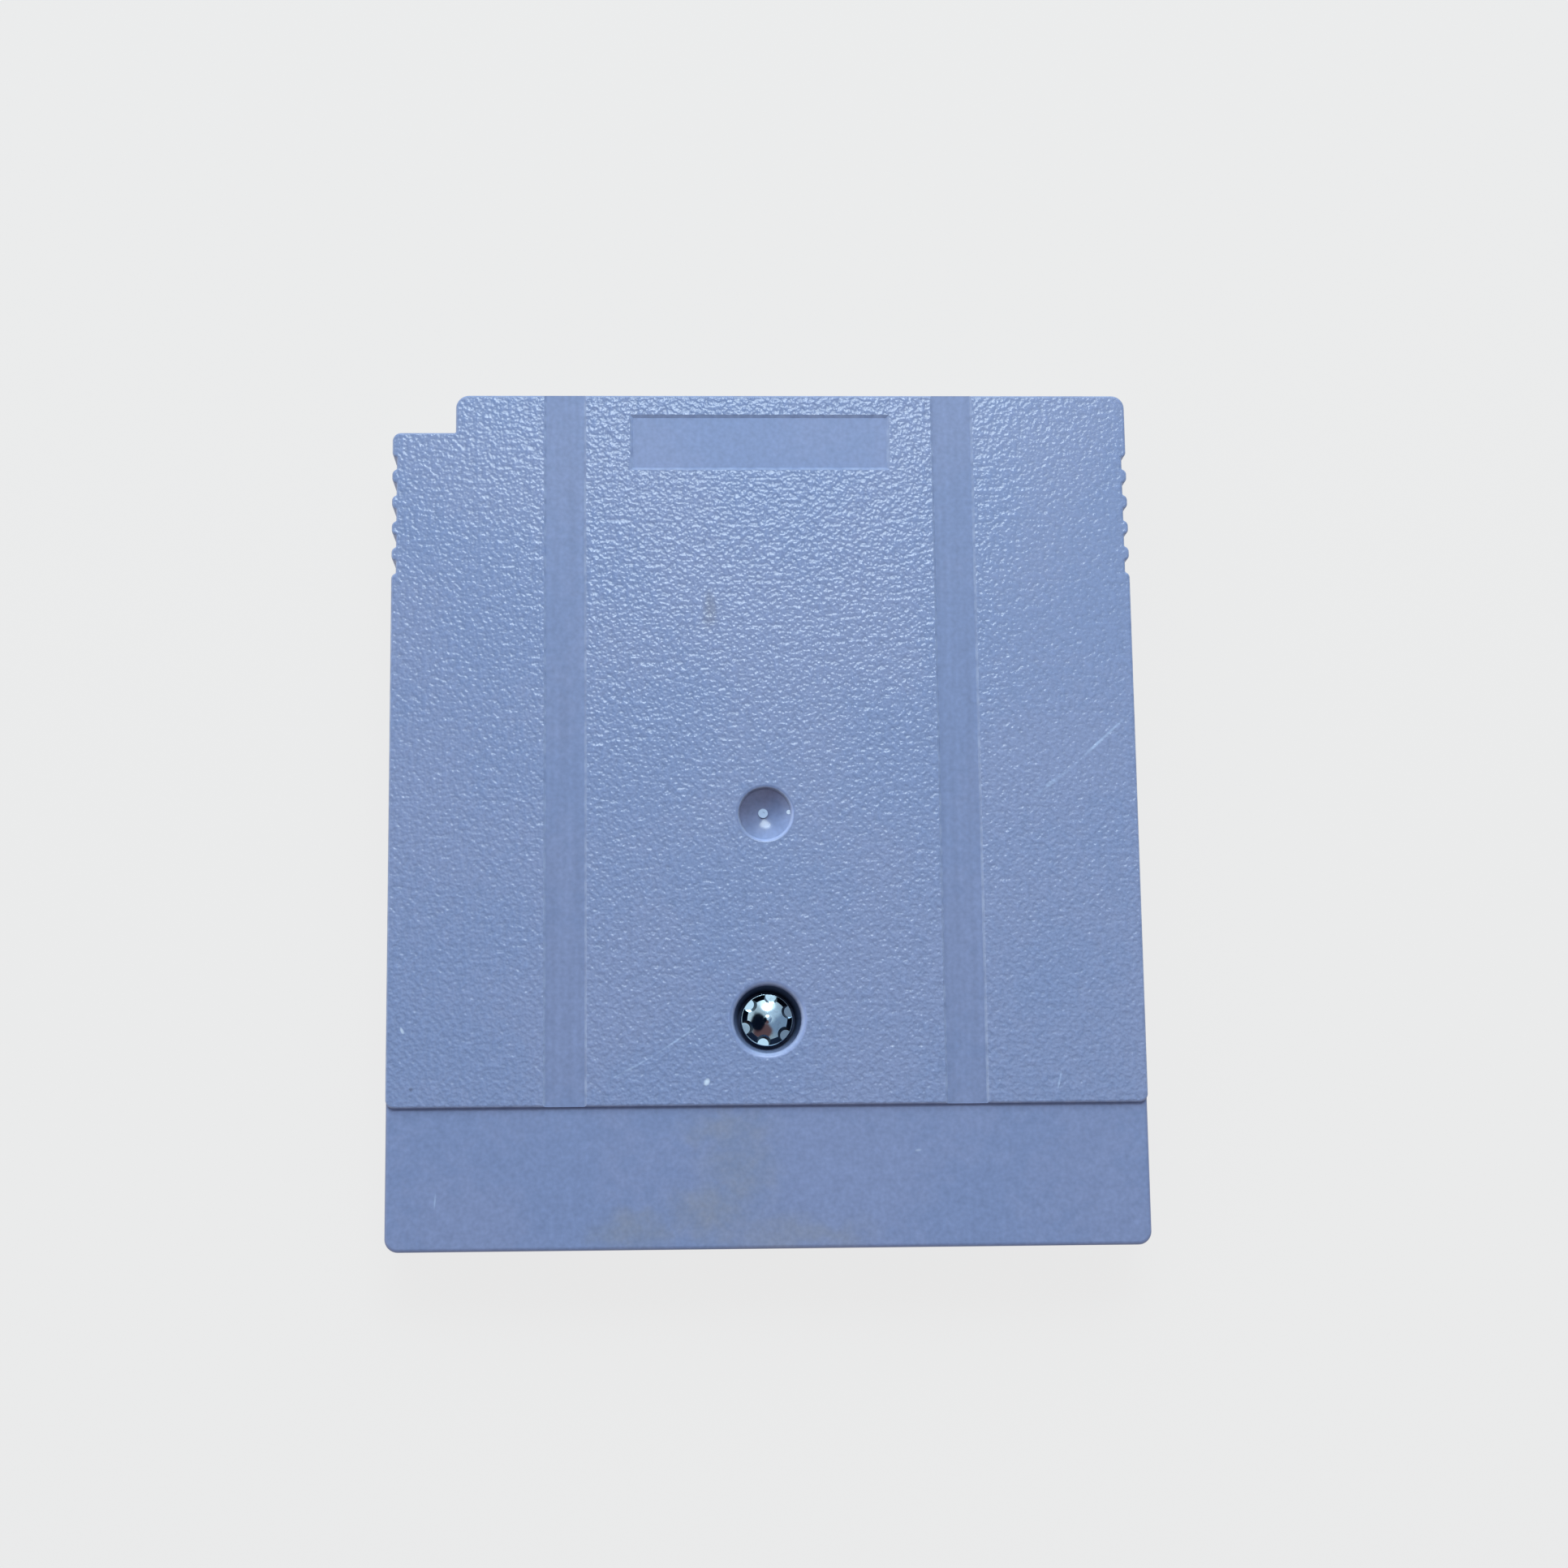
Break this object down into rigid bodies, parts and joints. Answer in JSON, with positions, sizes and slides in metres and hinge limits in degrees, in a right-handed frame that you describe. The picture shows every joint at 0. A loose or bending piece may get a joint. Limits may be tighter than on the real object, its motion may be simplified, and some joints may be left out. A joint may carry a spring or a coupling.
{
  "type": "game cartridge",
  "caption": "Flat moulded cartridge for a handheld console, with a keying notch, grip ridges, a finger dimple, a security screw and a slot onto a board with edge contacts.",
  "frame": {"origin": "middle of the footprint, on the surface that the label side rests on", "axes": "+Z out of the rear (screw) face, +Y to the grip end with the keying notch, -Y out of the connector slot, +X to the right when the rear face is seen with the grip end up"},
  "size_m": [0.057, 0.0654, 0.0078],
  "materials": {
    "shell_plastic": "moulded grey-blue plastic, spark-eroded grain on the raised panel, satin elsewhere",
    "label_paper": "coated paper with plain fields of colour",
    "screw_metal": "bright nickel plating",
    "board_laminate": "green solder mask over glass laminate",
    "contact_plating": "thin gold plating",
    "chip_epoxy": "black moulded epoxy",
    "lead_metal": "tinned lead frame",
    "cell_steel": "drawn stainless can",
    "tab_metal": "nickel strip",
    "capacitor_ceramic": "fired ceramic with tinned ends",
    "resistor_ceramic": "dark glaze on ceramic with tinned ends"
  },
  "bodies": {
    "root": {"rear_shell": "shell_plastic", "front_shell": "shell_plastic", "front_label": "label_paper", "security_screw": "screw_metal", "circuit_board": "board_laminate", "edge_contacts": "contact_plating", "program_chip_body": "chip_epoxy", "program_chip_leads": "lead_metal", "memory_chip_body": "chip_epoxy", "memory_chip_leads": "lead_metal", "bank_chip_body": "chip_epoxy", "bank_chip_leads": "lead_metal", "supply_chip_body": "chip_epoxy", "supply_chip_leads": "lead_metal", "diode_body": "chip_epoxy", "diode_leads": "lead_metal", "backup_cell": "cell_steel", "cell_tab_positive": "tab_metal", "cell_tab_negative": "tab_metal", "chip_capacitors": "capacitor_ceramic", "chip_resistors": "resistor_ceramic"}
  },
  "joints": []
}
